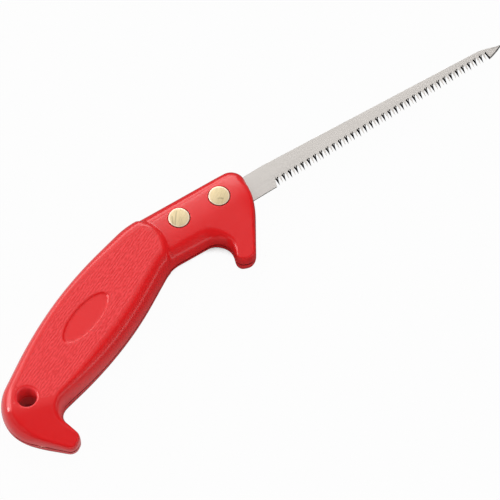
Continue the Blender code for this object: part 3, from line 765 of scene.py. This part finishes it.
def blade_layers():
    """Counter-clockwise blade edge as pairs of points, on the upper and on the lower face, and its facets."""
    slant = math.tan(TOOTH_BACK_ANGLE)
    back = TOOTH_DEPTH * slant
    first = HEEL_REACH + back + FIRST_GULLET
    toothed = BLADE_REACH - TIP_EDGE_LENGTH - first
    count = int(toothed / TOOTH_PITCH) + 1
    rise = TOOTH_DEPTH + BEVEL_RISE
    peak = 2.0 * BEVEL_WIDTH / slant
    edge = []
    kinds = []

    def add(upper, lower, kind):
        edge.append((Vector(upper), Vector(lower)))
        kinds.append(kind)

    for corner in ((-TANG_REACH, BLADE_DEPTH), (-TANG_REACH, 0.0), (HEEL_REACH, 0.0)):
        add(corner, corner, "plain")
    heel_top = (HEEL_REACH + back, TOOTH_DEPTH)
    add(heel_top, heel_top, "gullet")
    for tooth in range(count):
        x = first + TOOTH_PITCH * tooth
        full = [(x, TOOTH_DEPTH), (x, 0.0), (x + back, TOOTH_DEPTH)]
        ground = [(x + BEVEL_WIDTH, rise), (x + BEVEL_WIDTH, peak), (x - BEVEL_WIDTH + rise * slant, rise)]
        upper, lower = (ground, full) if tooth % 2 == 0 else (full, ground)
        if tooth == count - 1:
            add(upper[0], lower[0], "front")
            break
        for above, below, kind in zip(upper, lower, ("front", "back", "gullet")):
            add(above, below, kind)
    last = Vector((first + TOOTH_PITCH * (count - 1), 0.0))
    point_low = Vector((BLADE_REACH, TIP_HEIGHT - TIP_BLUNT / 2.0))
    point_high = Vector((BLADE_REACH, TIP_HEIGHT + TIP_BLUNT / 2.0))
    control = (last + point_low) / 2.0 + Vector((TIP_BELLY, -TIP_BELLY))
    for number, place in enumerate(bent(last, control, point_low)):
        shift = TIP_BEVEL_DIRECTION * TIP_BEVEL if number else Vector((BEVEL_WIDTH, TIP_BEVEL))
        add(place + shift, place, "bevel")
    knee = Vector((BLADE_REACH - TIP_LENGTH, TIP_DEPTH))
    taper_start = Vector((HEEL_REACH, BLADE_DEPTH))
    knee_low = knee + (point_high - knee).normalized() * KNEE_BLEND
    knee_high = knee + (taper_start - knee).normalized() * KNEE_BLEND
    for place in [point_high] + bent(knee_low, knee, knee_high) + [taper_start]:
        add(place, place, "plain")
    return edge, kinds


def add_blade():
    edge, kinds = blade_layers()
    half = BLADE_THICKNESS / 2.0
    parts = MeshParts()
    low = parts.level_ring([lower for _, lower in edge], -half)
    high = parts.level_ring([upper for upper, _ in edge], half)
    parts.close([low, high])
    blade = parts.make("blade", 1)
    for number, kind in enumerate(kinds):
        blade.data.polygons[number].material_index = FACET_STEELS[kind]
    return blade


# Rivets

def rivet_profile():
    """Radius and height along a shank and a head with a rounded rim and a slightly crowned face."""
    top = NECK_HALF_THICKNESS - RIVET_HEAD_RECESS
    seat = top - RIVET_HEAD_THICKNESS
    profile = [(RIVET_SHANK_RADIUS, SEAM_GAP / 2.0), (RIVET_SHANK_RADIUS, seat), (RIVET_HEAD_RADIUS, seat)]
    for angle in quarter_turn(RIM_BANDS):
        radius = RIVET_HEAD_RADIUS - RIVET_RIM * (1.0 - math.cos(angle))
        profile.append((radius, top - RIVET_CROWN - RIVET_RIM * (1.0 - math.sin(angle))))
    face = RIVET_HEAD_RADIUS - RIVET_RIM
    for step in range(1, RIVET_FACE_RINGS):
        share = 1.0 - step / RIVET_FACE_RINGS
        profile.append((face * share, top - RIVET_CROWN * share * share))
    return profile


def add_rivet(name, place, side):
    parts = MeshParts()
    centre = Vector(place)
    parts.close([parts.level_ring(circle(centre, radius), height) for radius, height in rivet_profile()])
    return parts.make(name, side)


def mark_rivet(rivet, name):
    """Stores on each vertex the painted highlight round the rim of the head and the scratches on its face."""
    centre = PLAN_ORIGIN.to_2d() + Vector(RIVET_PLACES[name])
    edge = (RIVET_HEAD_RADIUS - RIVET_RIM) / MM
    rim_highlights = []
    scratches = []
    for vertex in rivet.data.vertices:
        place = (vertex.co.to_2d() - centre) / MM
        rim_highlights.append(ease((place.length - edge + RIM_HIGHLIGHT_WIDTH) / RIM_HIGHLIGHT_FADE))
        mark = 0.0
        for start, end, width, depth in RIVET_SCRATCHES[name]:
            along = Vector(end) - Vector(start)
            share = (place - Vector(start)).dot(along) / along.length_squared
            nearest = Vector(start) + along * min(max(share, 0.0), 1.0)
            mark = max(mark, depth * (1.0 - ease((place - nearest).length / (2.0 * width))))
        scratches.append(mark)
    store(rivet.data, "rim", rim_highlights)
    store(rivet.data, "scratch", scratches)


# Materials

class Graph:
    """Shading nodes of one material or of the surround."""

    def __init__(self, owner):
        owner.use_nodes = True
        self.nodes = owner.node_tree.nodes
        self.links = owner.node_tree.links

    def put(self, node, inputs):
        """Links each named input of a node to an output, or sets it to a constant."""
        for name, value in inputs.items():
            socket = node.inputs[name]
            if isinstance(value, bpy.types.NodeSocket):
                self.links.new(value, socket)
            elif socket.type == "RGBA":
                socket.default_value = (*value, 1.0)
            else:
                socket.default_value = value
        return node

    def new(self, kind, inputs):
        return self.put(self.nodes.new("ShaderNode" + kind), inputs)

    def attribute(self, name):
        node = self.new("Attribute", {})
        node.attribute_name = name
        return node.outputs["Fac"]

    def mapped(self, turn, cells):
        """Object coordinates, turned and scaled to texture cells per metre."""
        coordinates = self.new("TexCoord", {})
        node = self.new("Mapping", {"Vector": coordinates.outputs["Object"]})
        node.vector_type = "TEXTURE"
        self.put(node, {"Rotation": (0.0, 0.0, turn), "Scale": [1.0 / count for count in cells]})
        return node.outputs["Vector"]

    def noise(self, turn, cells, detail, roughness):
        inputs = {"Vector": self.mapped(turn, cells), "Scale": 1.0, "Detail": detail, "Roughness": roughness}
        return self.new("TexNoise", inputs).outputs["Fac"]

    def bands(self, turn, cells):
        """Wavering lines across the second axis of the mapped space."""
        waver = {"Distortion": 2.6, "Detail": 1.0, "Detail Scale": 1.6}
        node = self.new("TexWave", {"Vector": self.mapped(turn, cells), "Scale": 1.0, **waver})
        node.bands_direction = "Y"
        return node.outputs["Fac"]

    def ramp(self, value, low, high, to_low, to_high):
        inputs = {"Value": value, "From Min": low, "From Max": high, "To Min": to_low, "To Max": to_high}
        return self.new("MapRange", inputs).outputs["Result"]

    def calc(self, operation, first, second):
        node = self.new("Math", {0: first, 1: second})
        node.operation = operation
        return node.outputs["Value"]

    def blend(self, *terms):
        """Sum of values that are each times a weight."""
        products = [self.calc("MULTIPLY", value, weight) for value, weight in terms]
        total = products[0]
        for product in products[1:]:
            total = self.calc("ADD", total, product)
        return total

    def along(self, vector, direction):
        """How far a vector reaches along a direction."""
        node = self.new("VectorMath", {0: vector, 1: direction})
        node.operation = "DOT_PRODUCT"
        return node.outputs["Value"]

    def mix(self, share, first, second):
        node = self.nodes.new("ShaderNodeMix")
        node.data_type = "RGBA"
        colours = [number for number, socket in enumerate(node.inputs) if socket.type == "RGBA"]
        self.put(node, {"Factor": share, colours[0]: first, colours[1]: second})
        return [socket for socket in node.outputs if socket.type == "RGBA"][0]

    def bump(self, height, strength, distance, **under):
        inputs = {"Height": height, "Strength": strength, "Distance": distance, **under}
        return self.new("Bump", inputs).outputs["Normal"]

    def open_share(self, reach):
        """Share of the sky that a floor point sees past the object within a distance."""
        return self.new("AmbientOcclusion", {"Distance": reach}).outputs["AO"]


def new_material(name):
    material = bpy.data.materials.new(name)
    graph = Graph(material)
    return material, graph, graph.nodes["Principled BSDF"]


def plastic_material():
    """Glossy red moulding whose grip faces carry a fine streaky grain."""
    material, graph, shader = new_material("red_moulded_plastic")
    grain = graph.attribute("grain")
    bore = graph.attribute("bore")
    streaks = graph.bands(GRIP_ANGLE, STREAK_CELLS)
    pebbles = graph.noise(GRIP_ANGLE, PEBBLE_CELLS, 0.0, 0.5)
    texture = graph.blend((streaks, 0.25), (pebbles, 0.75))
    cloud = graph.noise(0.0, CLOUD_CELLS, 2.0, 0.5)
    skin = graph.noise(0.0, SKIN_CELLS, 2.0, 0.5)
    torn = graph.ramp(graph.noise(0.0, GATE_CELLS, 2.0, 0.6), 0.42, 0.58, 0.0, 1.0)
    plain = graph.mix(graph.ramp(cloud, 0.3, 0.7, 0.0, 1.0), *PLASTIC_COLOURS)
    grained = graph.mix(graph.ramp(texture, 0.38, 0.62, 0.0, 1.0), *GRAIN_COLOURS)
    colour = graph.mix(grain, plain, grained)
    # Painted light inside the hanging hole: the bore's wall turns brighter red
    colour = graph.mix(bore, colour, BORE_PAINTED_LIGHT_COLOUR)
    # Painted shade in the seam groove and round the rivet seats
    colour = graph.mix(graph.attribute("seam"), colour, SEAM_PAINTED_SHADE_COLOUR)
    colour = graph.mix(graph.calc("MULTIPLY", torn, graph.attribute("gate")), colour, GATE_COLOUR)
    smooth_roughness = graph.ramp(skin, 0.3, 0.7, 0.18, 0.23)
    roughness = graph.calc("ADD", smooth_roughness, graph.blend((grain, 0.24), (bore, 0.3)))
    skin_normal = graph.bump(skin, 0.05, 0.05 * MM)
    normal = graph.bump(texture, graph.calc("MULTIPLY", grain, 0.62), 0.30 * MM, Normal=skin_normal)
    graph.put(shader, {"Base Color": colour, "Roughness": roughness, "Normal": normal, "IOR": 1.5})
    return material


def steel_material(name, dark, pale, low, high, turn):
    """Steel with fine grinding lines along one direction."""
    material, graph, shader = new_material(name)
    lines = graph.noise(turn, STEEL_LINE_CELLS, 2.0, 0.6)
    specks = graph.noise(turn, STEEL_SPECK_CELLS, 2.0, 0.6)
    cloud = graph.noise(turn, STEEL_CLOUD_CELLS, 2.0, 0.5)
    tone = graph.blend((lines, 0.25), (specks, 0.25), (cloud, 0.50))
    colour = graph.mix(graph.ramp(tone, 0.36, 0.64, 0.0, 1.0), dark, pale)
    roughness = graph.ramp(lines, 0.3, 0.7, low, high)
    normal = graph.bump(lines, 0.05, 0.02 * MM)
    graph.put(shader, {"Base Color": colour, "Roughness": roughness, "Normal": normal, "Metallic": 1.0})
    return material


def brass_material():
    """Pale brass, ground flat, with a painted highlight round the rim and a few darker scratches."""
    material, graph, shader = new_material("pale_brass")
    lines = graph.noise(BRASS_LINE_TURN, BRASS_LINE_CELLS, 3.0, 0.6)
    marks = graph.noise(BRASS_MARK_TURN, BRASS_MARK_CELLS, 3.0, 0.65)
    wear = graph.ramp(marks, 0.40, 0.75, 0.0, 0.26)
    worn = graph.calc("MAXIMUM", wear, graph.attribute("scratch"))
    colour = graph.mix(graph.ramp(lines, 0.3, 0.7, 0.0, 1.0), *BRASS_COLOURS)
    colour = graph.mix(worn, colour, WORN_BRASS_COLOUR)
    # Painted highlight round the rim of each rivet's head
    colour = graph.mix(graph.attribute("rim"), colour, RIM_HIGHLIGHT_BRASS_COLOUR)
    roughness = graph.ramp(lines, 0.3, 0.7, 0.26, 0.38)
    normal = graph.bump(lines, 0.12, 0.04 * MM)
    graph.put(shader, {"Base Color": colour, "Roughness": roughness, "Normal": normal, "Metallic": 1.0})
    return material


# Assembly

def place_piece(piece, materials, node, slot):
    for material in materials:
        piece.data.materials.append(material)
    piece.data.shade_smooth()
    piece.data.set_sharp_from_angle(angle=SHARP_ANGLES[slot])
    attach(piece, "root")
    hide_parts(node)


def build_saw():
    plastic = plastic_material()
    half, loop = handle_parts()
    openings = [tang_slot()] + [rivet_seat(Vector(centre)) for centre in RIVET_PLACES.values()]
    halves = (("handle_right", "right_handle_half", 1), ("handle_left", "left_handle_half", -1))
    for name, node, side in halves:
        moulding = half.make(name, side)
        cut_away(moulding, side, openings)
        mark_moulding(moulding, loop)
        place_piece(moulding, [plastic], node, "handle")
    blade = add_blade()
    place_piece(blade, [steel_material(*steel) for steel in STEELS], "saw_blade", "blade")
    brass = brass_material()
    for name, place in RIVET_PLACES.items():
        for node, side in ((name + "_cap", 1), (name + "_post", -1)):
            piece = add_rivet(node + "_turned", place, side)
            mark_rivet(piece, name)
            place_piece(piece, [brass], node, "rivet")


# Studio

def view_direction(azimuth, rise):
    """Direction in the row frame; azimuth 0 is up in the view and 90 is right."""
    turn = VIEW_TURN + math.radians(azimuth)
    level = math.cos(math.radians(rise))
    return Vector((math.sin(turn) * level, math.cos(turn) * level, math.sin(math.radians(rise))))


def add_floor():
    """Ground that is white in the view, except where the object stands close over it and a painted red shade
    shows; its glow in reflections is painted light.
    """
    mesh = bpy.data.meshes.new("floor")
    signs = ((-1, -1), (1, -1), (1, 1), (-1, 1))
    mesh.from_pydata([(x * FLOOR_HALF, y * FLOOR_HALF, 0.0) for x, y in signs], [], [(0, 1, 2, 3)])
    floor = bpy.data.objects.new("floor", mesh)
    bpy.context.scene.collection.objects.link(floor)
    material, graph, shader = new_material("pale_floor")
    graph.nodes.remove(shader)
    path = graph.new("LightPath", {}).outputs
    direct = path["Is Camera Ray"]
    mirrored = graph.calc("MAXIMUM", path["Is Glossy Ray"], path["Is Transmission Ray"])
    near_share = graph.open_share(NEAR_REACH)
    wide_share = graph.open_share(WIDE_REACH)
    # Painted shade with red bounce light: the floor's colour turns red-dark close under the object, and shows
    # where its white share drops
    contact = graph.ramp(wide_share, 0.12, 0.24, 0.0, 1.0)
    white = graph.calc("MULTIPLY", graph.ramp(near_share, 0.06, 0.26, 0.0, 0.97), contact)
    painted_contact_ground_colour = graph.mix(contact, CONTACT_SHADE_AND_BOUNCE_COLOUR, FLOOR_COLOUR)
    ground = graph.new("BsdfDiffuse", {"Color": painted_contact_ground_colour})
    # Painted light and shadow in reflections: the floor's glow seen by glossy and transmission rays is
    # brighter towards the left and dimmed close to the object
    place = graph.new("TexCoord", {}).outputs["Object"]
    leftward = graph.along(place, view_direction(FLOOR_LIGHT_SWEEP_AZIMUTH, 0.0))
    sweep = graph.ramp(leftward, 0.03, 0.12, 0.15, 0.75)
    clear = graph.ramp(wide_share, 0.50, 0.80, 0.15, 1.0)
    reflected = graph.calc("MULTIPLY", mirrored, graph.calc("MULTIPLY", sweep, clear))
    glow = graph.new("Emission", {"Color": WHITE, "Strength": graph.calc("ADD", direct, reflected)})
    share = graph.calc("ADD", graph.calc("MULTIPLY", direct, white), mirrored)
    layers = {0: share, 1: ground.outputs["BSDF"], 2: glow.outputs["Emission"]}
    surface = graph.new("MixShader", layers).outputs["Shader"]
    graph.put(graph.nodes["Material Output"], {"Surface": surface})
    mesh.materials.append(material)


def add_world():
    """Soft studio surround, brightest low at the back left, and even where the view shows it."""
    world = bpy.data.worlds.new("studio")
    bpy.context.scene.world = world
    graph = Graph(world)
    outward = graph.new("TexCoord", {}).outputs["Generated"]
    patches = []
    for azimuth, rise, sharpness, strength in SURROUND_PATCHES:
        facing = graph.calc("MAXIMUM", graph.along(outward, view_direction(azimuth, rise)), 0.0)
        patches.append((graph.calc("POWER", facing, sharpness), strength))
    level = graph.calc("ADD", graph.blend(*patches), SURROUND_LEVEL)
    direct = graph.new("LightPath", {}).outputs["Is Camera Ray"]
    unseen = graph.calc("MULTIPLY", level, graph.calc("SUBTRACT", 1.0, direct))
    backdrop = graph.calc("MULTIPLY", direct, BACKDROP_LEVEL)
    strength = graph.calc("ADD", unseen, backdrop)
    graph.put(graph.nodes["Background"], {"Color": WHITE, "Strength": strength})


def add_lamp(name, azimuth, rise, distance, width, height, power):
    """Area lamp aimed at the object."""
    light = bpy.data.lights.new(name, "AREA")
    light.shape = "RECTANGLE"
    light.size = width
    light.size_y = height
    light.energy = power
    lamp = bpy.data.objects.new(name, light)
    direction = view_direction(azimuth, rise)
    lamp.location = VIEW_TARGET + direction * distance
    lamp.rotation_euler = direction.to_track_quat("Z", "Y").to_euler()
    bpy.context.scene.collection.objects.link(lamp)
    return lamp


def add_camera():
    camera = bpy.data.cameras.new("camera")
    camera.sensor_width = VIEW_SENSOR
    camera.lens = VIEW_LENS
    camera.clip_end = VIEW_END
    holder = bpy.data.objects.new("camera", camera)
    holder.location = VIEW_TARGET + view_direction(180.0, VIEW_RISE) * VIEW_DISTANCE
    holder.rotation_euler = (VIEW_TARGET - holder.location).to_track_quat("-Z", "Y").to_euler()
    bpy.context.scene.collection.objects.link(holder)
    bpy.context.scene.camera = holder


def build_studio():
    add_floor()
    add_world()
    for name, setting in BOX_LAMPS.items():
        add_lamp(name, *setting)
    for name, setting in GLOSS_LAMPS.items():
        add_lamp(name, *setting).visible_diffuse = False
    for name, setting in FILL_LAMPS.items():
        add_lamp(name, *setting).visible_glossy = False
    add_camera()
    bpy.context.scene.view_settings.view_transform = "Standard"


build_saw()
build_studio()
